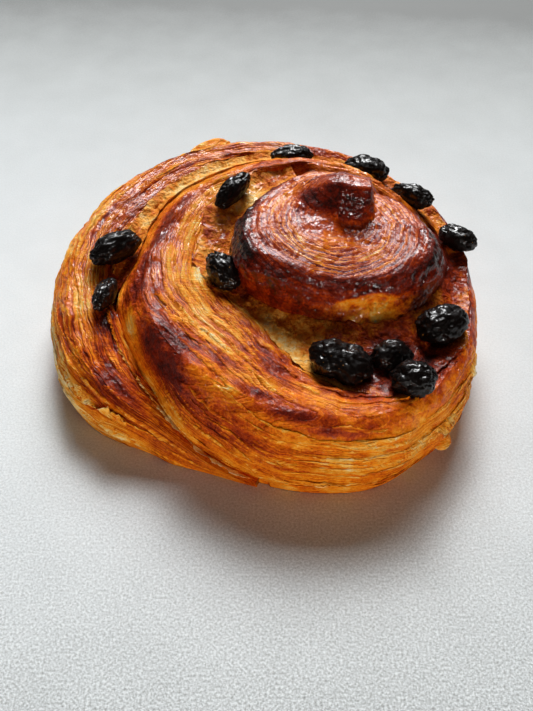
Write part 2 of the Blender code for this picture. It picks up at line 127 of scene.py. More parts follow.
# For each: angle, radius, height, length, width, thickness (mm), turn, tilt, share off at the waist
RAISINS = [
    (269, 36.8, 27.5, 15, 11.5, 9.5, -20, 10, 0.18),
    (289.5, 36.2, 26.5, 9.5, 8, 8, 5, 0, 0),
    (291, 45.8, 28, 10.5, 8.5, 8, -5, 0, 0),
    (316, 35.6, 28, 12.5, 9.5, 9, 20, 0, 0),
    (195, 30.9, 30.5, 11, 7.5, 8, -55, 15, 0),
    (146, 33.5, 36.3, 12, 5.5, 6, 48, -15, 0),
    (536, 60, 28, 14.5, 7.5, 7.5, 37, 0, 0),
    (550, 62, 25, 11.5, 5, 6, 76, 10, 0),
    (465, 42.5, 31.8, 11.5, 6.5, 5.5, 5, 0, 0),
    (433, 34.8, 32.2, 12.5, 9, 7.5, -10, 0, 0),
    (403, 30.5, 32.5, 11.5, 6.5, 6.5, -25, 0, 0),
    (370, 34, 30, 10.5, 6.5, 6, -30, 0, 0),
]

# For each: angle, radius, height, length, reach, thickness (mm) and tilt
SCALES = [
    (301, 50.5, 5.5, 5.5, 7, 1.8, 40),
    (124, 64.5, 25, 14, 7, 1.8, -28),
    (198, 76, 9, 16, 7, 2, -70),
]


def ease(value, start, end):
    """0 up to the start, 1 from the end on and smooth between them."""
    share = np.clip((value - start) / (end - start), 0, 1)
    return share * share * (3 - 2 * share)


def mix(first, second, share):
    return first + (second - first) * share


def bell(value, centre, width):
    """1 at the centre, falling off smoothly over the width."""
    return np.exp(-(((value - centre) / width) ** 2))


def through(angles, values):
    """A smooth function of the angle through the values, given in millimetres."""
    knots = np.asarray(angles, float)
    heights = np.asarray(values, float) * MM
    spans = np.diff(knots)
    slopes = np.diff(heights) / spans
    before = np.concatenate([slopes[:1], slopes])
    after = np.concatenate([slopes, slopes[-1:]])
    least = np.minimum(abs(before), abs(after))
    bends = np.where(before * after > 0, np.sign(before) * least, 0)

    def value(angle):
        i = np.clip(np.searchsorted(knots, angle, side="right") - 1, 0, len(spans) - 1)
        t = np.clip((angle - knots[i]) / spans[i], 0, 1)
        start = heights[i] + bends[i] * spans[i] * t
        end = heights[i + 1] - bends[i + 1] * spans[i] * (1 - t)
        return mix(start, end, t * t * (3 - 2 * t))

    return value


# The spiral's radii and heights (mm) by angle, as in the solids
slit_radius = through(
    [90, 135, 180, 225, 270, 315, 360, 405, 450, 495, 515, 533, 553, 585, 612],
    [24.5, 28.4, 29.8, 26.8, 31.3, 35.5, 32.8, 32.4, 42, 52.3, 54.8, 55.4, 60.6, 59, 57],
)
floor_height = through(
    [90, 135, 180, 225, 270, 315, 360, 405, 450, 495, 540, 570, 585, 600, 612],
    [38, 34.5, 28.5, 26, 24.5, 24, 26, 28, 28.5, 27.5, 23, 15, 9, 3.5, 1.2],
)
outer_lip = through(
    [90, 135, 180, 215, 250, 280, 315, 345, 380, 410, 450, 490, 540, 570, 612],
    [0, 4.5, 5, 1.5, 5, 11, 4.5, 1.2, 1, 2.5, 1.2, 1.5, 2, 0.5, 0.2],
)
inner_lip = through([90, 205, 225, 270, 300, 325, 345, 370, 612], [0, 0, 1, 5.9, 7, 6, 3, 0, 0])
ridge_radius = through(
    [15, 60, 90, 110, 130, 150, 180, 225, 270, 315, 360, 405, 450, 480, 510, 540, 570, 590, 612],
    [24, 24.5, 27, 31, 36.5, 43.5, 48, 53.5, 53, 43.3, 35.6, 37, 47, 59, 66.5, 70.5, 69, 62, 59.6],
)
ridge_height = through(
    [15, 30, 45, 90, 120, 150, 180, 225, 270, 315, 360, 405, 450, 495, 540, 570, 585, 600, 612],
    [28.5, 33, 36.8, 39.5, 37.5, 33.5, 31, 29.5, 27.5, 25.5, 26, 28.5, 30, 29, 25.5, 19, 12, 5,
     1.6],
)
outline_radius = through(
    np.linspace(0, 360, 17),
    [37.6, 39.6, 42, 47.2, 54, 63.2, 72.5, 77, 79, 77.8, 65.8, 60.4, 59.4, 54.4, 48, 41.4, 37.6],
)
rim_radius = through(
    [0, 30, 57, 82, 100, 141, 175, 200, 225, 245, 275, 307, 326, 340, 360],
    [26.8, 23, 21.5, 23, 24, 25.4, 27.8, 28.4, 25, 23, 21.7, 24, 27.2, 28.4, 26.8],
)
rim_height = through(np.linspace(0, 360, 9), [38, 38, 39, 40, 40, 39.5, 38.5, 37.5, 38])


def lattice(x, y, z, seed):
    """Smooth noise from -1 to 1 at arrays of points, with one bump a unit."""
    cells = [np.floor(v).astype(np.int64) for v in (x, y, z)]
    parts = [v - c for v, c in zip((x, y, z), cells)]
    parts = [p * p * (3 - 2 * p) for p in parts]

    def corner(i, j, k):
        """A fixed value at a corner of each cell. The large numbers only scramble its place."""
        mixed = (cells[0] + i) * 374761393 + (cells[1] + j) * 668265263
        mixed = mixed + (cells[2] + k) * 1442695041 + seed * 1013904223
        mixed = ((mixed ^ (mixed >> 13)) & 0xFFFFFFFF) * 1274126177 & 0xFFFFFFFF
        return ((mixed ^ (mixed >> 16)) & 0xFFFF) / 32767.5 - 1

    rows = [[mix(corner(0, j, k), corner(1, j, k), parts[0]) for j in (0, 1)] for k in (0, 1)]
    low, high = (mix(row[0], row[1], parts[1]) for row in rows)
    return mix(low, high, parts[2])


def bumps(points, size, seed, octaves=2):
    """Noise of a size in metres at points, each further octave half as large and as high."""
    total, height = 0, 1
    for k in range(octaves):
        p = points / size * 2**k
        total = total + height * lattice(p[..., 0], p[..., 1], p[..., 2], seed + k)
        height /= 2
    return total


def streaks(along, across, length, width, seed):
    """Noise drawn out along the layers."""
    return lattice(along / length, across / width, along * 0 + 0.5, seed)


def at(angles, radii, heights):
    """Points round the spiral's centre."""
    turn = np.radians(angles)
    x = CENTRE[0] + radii * np.cos(turn)
    y = CENTRE[1] + radii * np.sin(turn)
    return np.stack(np.broadcast_arrays(x, y, heights), -1)


def slit_side(angle):
    """Half of the slit's width."""
    open_width = mix(SLIT_WIDTH, OUTER_SLIT_WIDTH, ease(angle, NARROWING_START, NARROWING_END))
    return mix(open_width, SEAM_WIDTH, ease(angle, CUSTARD_END, SEAM_START)) / 2


def beside_limit(angle, height):
    """How far out the flank may come beside the next turn of the spiral."""
    over = np.maximum(0, height - floor_height(angle + 360))
    limit = slit_radius(angle + 360) - slit_side(angle + 360) + BESIDE_SLOPE * over
    return np.where(angle + 360 > SLIT_LAST, 1.0, limit)


def strip_outside(angle):
    """Radius and height of the strip's widest line, and how far its foot draws in below it."""
    outer = angle + 360 > SLIT_LAST
    tail = ease(angle, TAIL_START, STRIP_END)
    tip = slit_radius(angle) + TAIL_WIDTH
    widest = mix(outline_radius(angle % 360), tip, ease(angle, TAIL_TIP_START, STRIP_END))
    height = np.minimum(WIDEST_HEIGHT, WIDEST_SHARE * ridge_height(angle))
    thin = np.minimum(UNDERCUT * (1 - tail), (widest - slit_radius(angle)) / 3)
    beside = slit_radius(angle + 360) - slit_side(angle + 360)
    sunk = SUNK_DEPTH * (1 - ease(angle, STRIP_START, SUNK_END))
    free = ease(angle, CLEARING_START, CLEARING_END)
    covered = mix(beside - sunk, outline_radius(angle % 360), free)
    covered_height = np.maximum(floor_height(angle + 360) - FOOT_MARGIN, WIDEST_HEIGHT)
    return (
        np.where(outer, widest, covered),
        np.where(outer, height, covered_height),
        np.where(outer, thin, UNDERCUT * free),
    )


def strip_inside(angle):
    """Radius and height of the strip's edge at the slit, and the radius of the slit's wall."""
    ridge, top = ridge_radius(angle), ridge_height(angle)
    wall = slit_radius(angle) + slit_side(angle)
    edge = np.minimum(wall + outer_lip(angle), mix(ridge, wall, EDGE_SHARE))
    edge_height = np.minimum(floor_height(angle), top - EDGE_MARGIN)
    closed = ease(angle, CLOSING_START, CLOSING_END)
    tucked = slit_radius(angle) - TUCK
    edge, wall = mix(edge, tucked, closed), mix(wall, tucked, closed)
    free = ease(angle, PARTING_ANGLE, PARTED_ANGLE)
    hidden, sunk = ridge - HIDDEN_INSET, top - HIDDEN_DROP
    return mix(hidden, edge, free), mix(sunk, edge_height, free), mix(hidden, wall, free)


def below_edge(edge_height):
    """How high the strip's edge still is where it meets the slit's wall."""
    return np.maximum(edge_height - LIP_DEPTH, LIP_SHARE * edge_height)


def inner_heights(angle):
    """Heights of the foot of the slit's inner side, and of the wall's top below it."""
    foot_height = floor_height(angle) + INNER_RISE * inner_lip(angle) / MOST_INNER_LIP
    return foot_height, np.minimum(floor_height(angle) - LIP_DEPTH, foot_height - FOOT_MARGIN)


def steps(count):
    """Equal shares from 0 to just under 1."""
    return np.arange(count)[None] / count


def stretch(radius, height, share):
    """A stretch of every section: how far out, how high and how much of the relief it takes."""
    return np.stack(np.broadcast_arrays(radius, height, share), -1)


def strip_sections(angles):
    """The strip's cut at every angle, from the foot of its flank over the crest into the slit."""
    angle = angles[:, None]
    ridge, top = ridge_radius(angle), ridge_height(angle)
    widest, widest_height, undercut = strip_outside(angle)
    edge, edge_height, wall = strip_inside(angle)
    smooth = ease(angle, SMOOTHING_START, STRIP_END)
    rough = (1 - smooth) * np.minimum(1, (widest - wall) / STOUT_WIDTH)
    bulge = mix(COVERED_BULGE, FREE_BULGE, ease(angle, BULGE_START, CLEARING_END))
    cuts = [stretch(mix(wall, widest - undercut, steps(2)), 0, 0)]
    t = steps(STRIP_FLANK)
    height = widest_height * t
    radius = widest - undercut * (1 - np.sin(t * math.pi / 2))
    radius = np.minimum(radius, beside_limit(angle, height))
    cuts.append(stretch(radius, height, t * undercut / UNDERCUT * rough))
    t = steps(STRIP_SHOULDER)
    turn = t * math.pi / 2
    radius = mix(mix(widest, ridge, t), mix(ridge, widest, np.cos(turn)), bulge)
    height = mix(widest_height, top, mix(t, np.sin(turn), bulge))
    rising = np.maximum(np.minimum(1, 2 * t), undercut / UNDERCUT)
    cuts.append(stretch(radius, height, rising * rough))
    t = steps(STRIP_FACE)
    turn = t * math.pi / 2
    radius = ridge - (ridge - edge) * np.sin(turn)
    height = edge_height + (top - edge_height) * np.cos(turn)
    cuts.append(stretch(radius, height, np.minimum(1, 3 * (1 - t)) * rough))
    deep = below_edge(edge_height)
    cuts += [stretch(edge, edge_height, 0), stretch(wall, deep * (1 - steps(3)), 0)]
    cuts = np.concatenate(cuts, axis=1)
    cuts[..., 2] *= ease(angle, STRIP_START, STRIP_START + 30)
    return cuts


def winding(angle):
    """The slit's own angle where it passes the crown."""
    turn = angle % 360
    return np.where(turn >= PARTING_ANGLE, turn, turn + 360)


def crown_wall(angle):
    """Radius of the crown's wall in the slit."""
    turn = angle % 360
    share = ease(turn, JOINING_START, JOINING_END)
    joining = mix(slit_radius(360.0), slit_radius(float(PARTING_ANGLE)), share)
    return np.where(turn >= PARTING_ANGLE, slit_radius(turn), joining) - SLIT_WIDTH / 2


def crest_line(x):
    """How far behind the centre the knob's crest runs."""
    return KNOB_CREST + KNOB_CURL * (KNOB_CLIFF - x) ** 2


def knob_height(angle, radius):
    """How far the knob stands up from the crown's dome."""
    x = radius * np.cos(np.radians(angle))
    y = radius * np.sin(np.radians(angle))
    crest = crest_line(x)
    rise = ease(x, KNOB_START, KNOB_TOP)
    front = ease(y, KNOB_FOOT, crest)
    corner = KNOB_ROUNDING * (1 - front) ** 1.5
    cliff = 1 - ease(x + corner, KNOB_CLIFF, KNOB_CLIFF + KNOB_CLIFF_WIDTH)
    back = np.maximum(0, y - crest - KNOB_FLAT) / KNOB_BACK
    return KNOB_HEIGHT * rise * cliff * np.exp(-(back**2)) * front


def crown_top(angle, share):
    """Height of the crown's top at a share of its rim's radius."""
    dome = CROWN_RISE * (1 - share**2)
    return rim_height(angle % 360) + dome + knob_height(angle, share * rim_radius(angle % 360))


def crown_sections(angles):
    """The crown's cut at every angle, from its base up the wall and over the rim to the middle."""
    angle = angles[:, None]
    rim = rim_radius(angle % 360)
    rim_base = rim_height(angle % 360) - RIM_DROP
    wall = crown_wall(angle)
    foot = wall - inner_lip(winding(angle))
    foot_height, deep = inner_heights(winding(angle))
    cuts = [stretch(wall, 0, 0), stretch(wall, deep, 0)]
    t = steps(CROWN_WALL)
    cuts.append(stretch(mix(foot, rim, t), mix(foot_height, rim_base, t), WALL_ROUGHNESS * t))
    shoulder, flat = FLAT_SHARE * rim, crown_top(angle, FLAT_SHARE)
    turn = steps(CROWN_RIM) * math.pi / 2
    cuts.append(stretch(mix(shoulder, rim, np.cos(turn)), mix(rim_base, flat, np.sin(turn)), 1))
    share = np.arange(CROWN_TOP, 0, -1)[None] / CROWN_TOP * FLAT_SHARE
    rough = np.minimum(1, 3 * share) * (1 - knob_height(angle, share * rim) / KNOB_HEIGHT)
    cuts.append(stretch(share * rim, crown_top(angle, share), rough))
    return np.concatenate(cuts, axis=1)


def central(grid, axis, closed):
    """What changes at each point along an axis of the grid."""
    if closed:
        return np.roll(grid, -1, axis) - np.roll(grid, 1, axis)
    return np.gradient(grid, axis=axis)


def normals_of(grid, closed):
    """Directions straight out of the surface through a grid."""
    square = np.cross(central(grid, 0, closed), central(grid, 1, not closed))
    return square / (np.linalg.norm(square, axis=2, keepdims=True) + 1e-12)


def raised(grid, height, closed=False):
    """The grid, moved straight out of its surface."""
    return grid + normals_of(grid, closed) * height[..., None]


def across_of(grid, crest):
    """Length along each section, counted from its crest."""
    gaps = np.linalg.norm(np.diff(grid, axis=1), axis=2)
    lengths = np.concatenate([np.zeros((len(grid), 1)), np.cumsum(gaps, axis=1)], axis=1)
    return lengths - lengths[:, crest : crest + 1]


def along_of(grid, crest):
    """Length along the crest, the same all over a section."""
    gaps = np.linalg.norm(np.diff(grid[:, crest], axis=0), axis=1)
    return np.concatenate([[0], np.cumsum(gaps)])[:, None] + 0 * grid[:, :, 0]


def spaced(start, end, count, radius_of):
    """Angles whose stations lie equally far apart along a radius."""
    fine = np.linspace(start, end, 4 * count)
    lengths = np.concatenate([[0], np.cumsum(radius_of(fine[1:]) * np.diff(fine))])
    return np.interp(np.linspace(0, lengths[-1], count), lengths, fine)


def solid_relief(grid, across, angles, layered):
    """The lumps of the solids at every point, and a share of their coarse layers."""
    along = across + LAYER_SPACING * angles[:, None] / 360
    out = np.zeros(grid.shape[:2])
    for i in range(grid.shape[0]):
        for j in range(grid.shape[1]):
            place = Vector((grid[i, j] - CENTRE) / LUMP_SIZE)
            shift = LAYER_WANDER * noise.noise(WANDER_SCALE * place + WANDER_PLACE)
            layer = math.sin(2 * math.pi * (along[i, j] / LAYER_SPACING + shift))
            out[i, j] = LUMP_DEPTH * noise.noise(place) + layered * LAYER_DEPTH * layer
    return out


def surface_of(angles, cuts, crest, layered, closed=False):
    """The solids' surface through sections: points, their turns, lengths across and along it."""
    grid = at(angles[:, None], cuts[..., 0], cuts[..., 1])
    across, along = across_of(grid, crest), along_of(grid, crest)
    relief = cuts[..., 2] * solid_relief(grid, across, angles, layered)
    return raised(grid, relief, closed), angles[:, None] + 0 * across, across, along


def strata(along, across, spacing, length, seed):
    """Terraces of overlapping layers: height from 0 to 1 and a tone from -1 to 1 for each."""
    warp = 0.7 * spacing * streaks(along, across, 1.3 * length, 6 * spacing, seed + 9)
    place = (across + warp) / spacing
    layer = np.floor(place)
    part = place - layer
    tone = lattice(along / length, layer * 7.31, along * 0 + 0.5, seed)
    height = (0.55 + 0.45 * tone) * (1 - part) ** 0.8
    return height, tone


def crumple(along, across, length, width, seed):
    """Sharp creases drawn out along the layers, from 0 in a crease to 1 between them."""
    first = np.abs(streaks(along, across, length, width, seed))
    second = np.abs(streaks(along, across, 0.45 * length, 0.45 * width, seed + 1))
    return np.clip(1.5 * first, 0, 1) * (0.6 + 0.4 * np.clip(2 * second, 0, 1))


def placed(name, data):
    """A new object in the scene."""
    made = bpy.data.objects.new(name, data)
    bpy.context.scene.collection.objects.link(made)
    return made


def as_thing(name, points, faces):
    """A smooth mesh as an object in the scene."""
    mesh = bpy.data.meshes.new(name)
    mesh.from_pydata(points.tolist(), [], faces)
    mesh.polygons.foreach_set("use_smooth", np.ones(len(mesh.polygons), bool))
    mesh.update()
    return placed(name, mesh)


def shell(grid, centre=None):
    """Points and faces of a closed surface through sections, all round a centre if there is one."""
    stations, corners = grid.shape[:2]
    closed = centre is not None
    i, j = np.meshgrid(
        np.arange(stations if closed else stations - 1),
        np.arange(corners - 1 if closed else corners),
        indexing="ij",
    )
    beyond, k = (i + 1) % stations, (j + 1) % corners
    quads = [i * corners + j, beyond * corners + j, beyond * corners + k, i * corners + k]
    points = grid.reshape(-1, 3)
    faces = np.stack(quads, -1).reshape(-1, 4).tolist()
    if closed:
        points = np.concatenate([points, [centre]])
        last = [s * corners + corners - 1 for s in range(stations)]
        faces += [[last[s], last[(s + 1) % stations], len(points) - 1] for s in range(stations)]
        faces.append([s * corners for s in range(stations)][::-1])
    else:
        faces.append(list(range(corners)))
        faces.append([(stations - 1) * corners + c for c in range(corners)][::-1])
    return points, faces


def inside(points):
    """The points, kept to the box that the solids take up."""
    return np.clip(points, list(cad_low), list(cad_high))


def joined(name, shells):
    """Several closed surfaces as one object, and its points."""
    points, faces = [], []
    for some, sides in shells:
        start = sum(len(one) for one in points)
        faces += [[start + corner for corner in side] for side in sides]
        points.append(some)
    points = inside(np.concatenate(points))
    return as_thing(name, points, faces), points


def give(thing, **values):
    """Stores numbers for the points by names that materials read. The last one fills what's left."""
    for name, value in values.items():
        flat = np.asarray(value, np.float32).ravel()
        count = len(thing.data.vertices)
        flat = np.concatenate([flat, np.full(count - len(flat), flat[-1], np.float32)])
        layer = thing.data.attributes.new(name, "FLOAT", "POINT")
        layer.data.foreach_set("value", flat)


def srgb(red, green, blue):
    """A colour read off a screen, 0 to 255, as the linear one that shaders take."""
    parts = [c / 255 for c in (red, green, blue)]
    return tuple(c / 12.92 if c <= 0.04045 else ((c + 0.055) / 1.055) ** 2.4 for c in parts)


class Shader:
    """A short way to write node materials."""

    def __init__(self, name):
        self.material = bpy.data.materials.new(name)
        self.material.use_nodes = True
        self.nodes = self.material.node_tree.nodes
        self.links = self.material.node_tree.links
        self.skin = self.nodes["Principled BSDF"]

    def put(self, value, socket):
        """Sets a socket to a number or colour, or links it to another node's output."""
        if isinstance(value, bpy.types.NodeSocket):
            self.links.new(value, socket)
        else:
            socket.default_value = value

    def surface(self, **looks):
        """Sets inputs of the surface shader, each named with _ for its spaces."""
        for name, value in looks.items():
            self.put(value, self.skin.inputs[name.replace("_", " ")])

    def node(self, kind, output, inputs, **settings):
        """An output of a new node whose inputs are set by name or number."""
        node = self.nodes.new("ShaderNode" + kind)
        for name, value in settings.items():
            setattr(node, name, value)
        for name, value in inputs.items():
            self.put(value, node.inputs[name])
        return node.outputs[output]

    def value_of(self, name):
        """A number that the mesh stores for its points."""
        return self.node("Attribute", "Fac", {}, attribute_name=name)

    def math(self, kind, *values):
        return self.node("Math", 0, dict(enumerate(values)), operation=kind)

    def add(self, first, second):
        return self.math("ADD", first, second)

    def times(self, first, second):
        return self.math("MULTIPLY", first, second)

    def scaled(self, value, factor, start):
        return self.math("MULTIPLY_ADD", value, factor, start)

    def vector(self, *parts):
        return self.node("CombineXYZ", 0, dict(enumerate(parts)))

    def place(self):
        return self.node("TexCoord", "Object", {})

    def noise(self, where, scale, detail=3, rough=0.55):
        """Noise about zero, roughly from -0.5 to 0.5. The scale counts its bumps in a metre."""
        inputs = {"Vector": where, "Scale": scale, "Detail": detail, "Roughness": rough}
        return self.add(self.node("TexNoise", "Fac", inputs), -0.5)

    def ramp(self, value, stops):
        """Colours by a value. Each stop is a place from 0 to 1 and a colour from 0 to 255."""
        node = self.nodes.new("ShaderNodeValToRGB")
        self.put(value, node.inputs[0])
        points = node.color_ramp.elements
        while len(points) < len(stops):
            points.new(1)
        for point, (where, *colour) in zip(points, stops):
            point.position = where
            point.color = (*srgb(*colour), 1)
        return node.outputs["Color"]

    def blend(self, share, first, second):
        """A mix of two colours."""
        inputs = {"Factor": share, 6: first, 7: second}
        return self.node("Mix", 2, inputs, data_type="RGBA")

    def bump(self, height, distance, strength=1.0):
        """Directions that make the surface look uneven."""
        inputs = {"Height": height, "Distance": distance, "Strength": strength}
        return self.node("Bump", 0, inputs)


# Colours from the least baked to the darkest
CRUST = [
    (0, 255, 232, 178), (0.14, 255, 200, 96), (0.3, 252, 158, 28), (0.44, 232, 116, 8),
    (0.58, 184, 66, 4), (0.74, 118, 26, 3), (0.9, 58, 10, 4), (1, 20, 8, 6),
]
CUSTARD = [
    (0, 240, 214, 150), (0.2, 242, 172, 72), (0.4, 222, 122, 22), (0.6, 168, 56, 6),
    (0.8, 98, 20, 4), (1, 40, 9, 6),
]
RAISIN = [(0, 6, 4, 4), (0.5, 13, 7, 6), (0.8, 34, 13, 8), (1, 70, 32, 15)]
SUGAR_SPOT = srgb(196, 132, 60)
FLOOR = [(0, 118, 120, 119), (0.4, 178, 182, 182), (0.8, 218, 223, 225), (1, 238, 243, 245)]


def crust_material(name):
    """Baked dough: browning, streaks of the layers and a shiny glaze over them."""
    s = Shader(name)
    bake, flake, gloss = s.value_of("bake"), s.value_of("flake"), s.value_of("gloss")
    along, across = s.value_of("along"), s.value_of("across")
    where = s.place()
    wide = s.noise(s.vector(s.times(along, 0.07), s.times(across, 0.8), 0), 1, 3)
    wide = s.times(wide, s.math("MINIMUM", s.add(s.times(flake, 2), 0.1), 1))
    fine = s.noise(s.vector(s.times(along, 0.18), s.times(across, 2.6), 5), 1, 4, 0.65)
    mottle = s.noise(where, 330, 4, 0.6)
    grain = s.noise(where, 1500, 3, 0.6)
    layers = s.times(fine, flake)
    edges = s.noise(s.vector(s.times(along, 0.045), s.times(across, 1.1), 9), 1, 2, 0.5)
    thin = s.scaled(s.math("ABSOLUTE", edges), -16, 1)
    thin = s.times(s.math("MAXIMUM", thin, 0), s.add(flake, 0.15))
    tone = s.add(s.times(wide, 0.22), s.times(layers, 0.8))
    smooth = s.scaled(flake, -1, 1)
    speckle = s.times(grain, s.scaled(smooth, 0.36, 0.12))
    tone = s.add(tone, s.add(s.times(mottle, 0.34), speckle))
    tone = s.add(tone, s.times(thin, -0.2))
    s.surface(Base_Color=s.ramp(s.add(bake, tone), CRUST))
    s.surface(Roughness=s.add(s.scaled(gloss, -0.2, 0.62), s.times(grain, 0.3)))
    blister = s.noise(where, 620, 4, 0.6)
    height = s.add(s.times(layers, 1.6), s.add(blister, s.times(grain, 0.25)))
    pimples = s.times(s.noise(where, 1000, 3, 0.65), smooth)
    height = s.add(s.add(height, s.times(thin, 0.35)), s.times(pimples, 1.2))
    s.surface(Normal=s.bump(height, 0.45 * MM, 0.9))
    drops = s.noise(where, 500, 2, 0.5)
    wet = s.add(s.times(layers, 0.8), drops)
    s.surface(Coat_Normal=s.bump(wet, 0.5 * MM, 0.9), Coat_Weight=s.times(gloss, 0.9))
    s.surface(Coat_Roughness=0.06, Specular_IOR_Level=0.1)
    return s.material


def custard_material():
    """Baked custard, from pale where it is bare to red-brown under glaze."""
    s = Shader("custard looks")
    bake = s.value_of("bake")
    where = s.place()
    mottle = s.noise(where, 330, 4, 0.6)
    grain = s.noise(where, 1300, 3, 0.6)
    tone = s.add(bake, s.add(s.times(mottle, 0.85), s.times(grain, 0.55)))
    s.surface(Base_Color=s.ramp(tone, CUSTARD), Roughness=s.scaled(bake, -0.15, 0.6))
    pits = s.noise(where, 800, 2, 0.5)
    height = s.add(s.times(pits, 0.9), s.add(mottle, s.times(grain, 0.4)))
    s.surface(Normal=s.bump(height, 0.9 * MM), Coat_Weight=s.value_of("gloss"))
    s.surface(Coat_Roughness=0.1, Specular_IOR_Level=0.12)
    return s.material


def raisin_material():
    """Black-brown wrinkled skin with a wet shine."""
    s = Shader("raisin looks")
    where = s.place()
    soft = s.noise(where, 420, 2, 0.45)
    grain = s.noise(where, 2200, 3, 0.6)
    crease = s.noise(where, 700, 4, 0.6)
    speck = s.noise(where, 1100, 1)
    tone = s.add(0.42, s.add(s.times(soft, 0.7), s.times(grain, 0.3)))
    skin = s.ramp(tone, RAISIN)
    sugar = s.ramp(speck, [(0.27, 0, 0, 0), (0.33, 255, 255, 255)])
    s.surface(Base_Color=s.blend(sugar, skin, (*SUGAR_SPOT, 1)))
    s.surface(Roughness=s.scaled(crease, 0.5, 0.4))
    s.surface(Normal=s.bump(s.add(crease, s.times(grain, 0.25)), 0.4 * MM, 0.9))
    s.surface(Coat_Normal=s.bump(soft, 0.6 * MM, 0.9))
    shine = s.scaled(s.noise(where, 170, 2, 0.5), 2.8, 0.5)
    s.surface(Coat_Weight=s.math("MINIMUM", s.math("MAXIMUM", shine, 0.1), 1))
    s.surface(Coat_Roughness=0.08, Specular_IOR_Level=0.1)
    return s.material


def dress(thing, material, slot, *nodes):
    """Gives a piece its looks and its body, and hides the solids it stands for. Its slot is not
    used.
    """
    thing.data.materials.append(material)
    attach(thing, "root")
    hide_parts(*nodes)


def patched(turn, span, patches):
    """The sum of soft patches at each turn and length across, the latter in mm."""
    total = 0 * turn
    for angle, height, wide, tall, amount in patches:
        total = total + amount * bell(turn, angle, wide) * bell(span, height, tall)
    return total


# Patches baked darker (+) or paler (-): angle, place across, width in degrees, height, amount
STRIP_BROWNING = [
    (215, -5, 13, 6, 0.42), (230, -9, 14, 4.5, 0.3), (242, -13, 11, 4, 0.2),
    (215, 3, 9, 3, 0.34), (198, 2.5, 8, 2, 0.28), (190, -4, 12, 4.5, 0.26),
    (165, -2, 18, 3.5, 0.42), (228, 6, 10, 1.3, 0.26), (246, 2, 6, 1.8, 0.4),
    (256, -1.5, 9, 1.4, 0.32), (268, -4.6, 8, 1.3, 0.3), (240, 15, 13, 5, 0.2),
    (222, 19, 10, 2.5, 0.12), (204, 20, 6, 2.5, 0.3), (250, 12, 6, 3, 0.14),
    (195, 6, 16, 2.6, -0.1), (222, 9.6, 14, 1.1, -0.24), (238, -0.3, 5, 0.9, -0.36),
    (155, 4, 10, 3, -0.14), (262, 7, 5, 4, -0.1), (256, 17, 6, 4, -0.22),
    (190, 13.5, 12, 2.4, -0.16), (284, -9, 15, 6, -0.1), (279, 7, 8, 3, 0.25),
    (306, 3.4, 12, 2.5, 0.2), (348, 1, 30, 3, 0.36), (250, -18, 10, 6, 0.08),
    (197, -17, 4, 6, 0.3), (201, -9, 3, 5, -0.22), (212, -16, 7, 3, -0.14),
    (482, 7, 6, 2.6, 0.26), (492, 7.5, 3, 3, -0.2), (524, 2.2, 8, 0.9, 0.42),
    (512, 5, 10, 1.3, 0.14), (525, 8, 6, 2, 0.22), (555, 1.5, 9, 1.4, -0.2),
    (556, 8, 9, 2.6, 0.36), (563, 6, 8, 3, 0.2), (570, 2.4, 6, 1.1, 0.3),
    (576, -1, 12, 6, 0.14), (553, -6, 5, 1.2, 0.2), (555, -14, 11, 1.6, -0.34),
    (565, -17.5, 5, 2.6, -0.42), (541, -11, 5, 1.5, -0.26), (530, -6, 6, 1.2, -0.22),
    (592, 0, 6, 2.5, -0.1), (455, 3, 12, 2.5, 0.24), (415, 1, 9, 2, -0.1), (388, 1, 12, 2.4, 0.2),
    (572, 1, 7, 6, 0.2), (588, -6, 12, 12, 0.1), (247, 12, 8, 5, 0.1), (552, -3, 8, 5, 0.1),
    (216, -2, 8, 5, 0.12), (303, 4.5, 8, 3, 0.28), (270, 9, 14, 2.5, 0.12), (430, -14, 60, 10, 0.14),
]
CROWN_BROWNING = [
    (240, -6.5, 16, 2, -0.14), (172, 7.8, 20, 2, 0.3), (203, 7, 9, 1.6, 0.26),
    (306, 15, 18, 4, -0.12), (18, 8, 18, 3, -0.12), (335, 6, 12, 3, 0.14),
    (245, 19, 40, 7, -0.12), (60, 12, 60, 4, -0.14), (150, 13, 30, 5, -0.12),
    (20, 20, 22, 4, -0.14), (188, 4.5, 12, 2, 0.12),
]
CUSTARD_BROWNING = [
    # The patch at 240 and 5.5 mm is paler partly as the custard's own colour and partly as painted
    # light for the shade it lies in
    (250, 1.2, 26, 2.2, -0.3), (240, 5.5, 30, 3, -0.14), (288, 9, 16, 7, 0.42),
    (284, 3, 12, 3, 0.2), (304, 2.5, 12, 5, 0.36), (178, 2, 7, 3, -0.12), (204, 3, 6, 3, 0.25),
    (140, 5, 12, 4, -0.3), (352, 4, 22, 4, 0.24), (500, 2, 26, 4, -0.2), (545, 3, 11, 4, 0.2),
]
# How far the layers' lines climb (mm) by angle, on the face and on the flank
face_lift = through(
    [100, 150, 165, 180, 195, 210, 222, 240, 250, 262, 275, 300, 612],
    [-4, -3, -1.5, 0, 2.5, 6, 7.5, 4.5, 1.5, -1.5, -4, -5, -5],
)
flank_lift = through(
    [100, 180, 200, 212, 225, 240, 260, 280, 470, 540, 570, 600, 612],
    [1, 1, 0.5, -1, -4, -8, -12, -13, -13, -11, -5, 3, 3],
)


def lift_at(turn, across):
    """How far the layers' lines climb across the strip."""
    return mix(face_lift(turn), flank_lift(turn), ease(-across, -2 * MM, 9 * MM))


def loosened(grid, turn, span, browning):
    """How far the layers come apart, from little under glaze to 1 on the open face and the tail."""
    layered = bell(turn, 205, 62) * ease(span, -5, 1) + bell(turn, 545, 75)
    layered += 0.4 * ease(-span, 5, 13)
    flake = np.clip(0.3 + 0.7 * layered - 1.1 * np.maximum(browning, 0), 0.12, 1)
    return flake * (0.85 + 0.25 * bumps(grid, 8 * MM, 3))


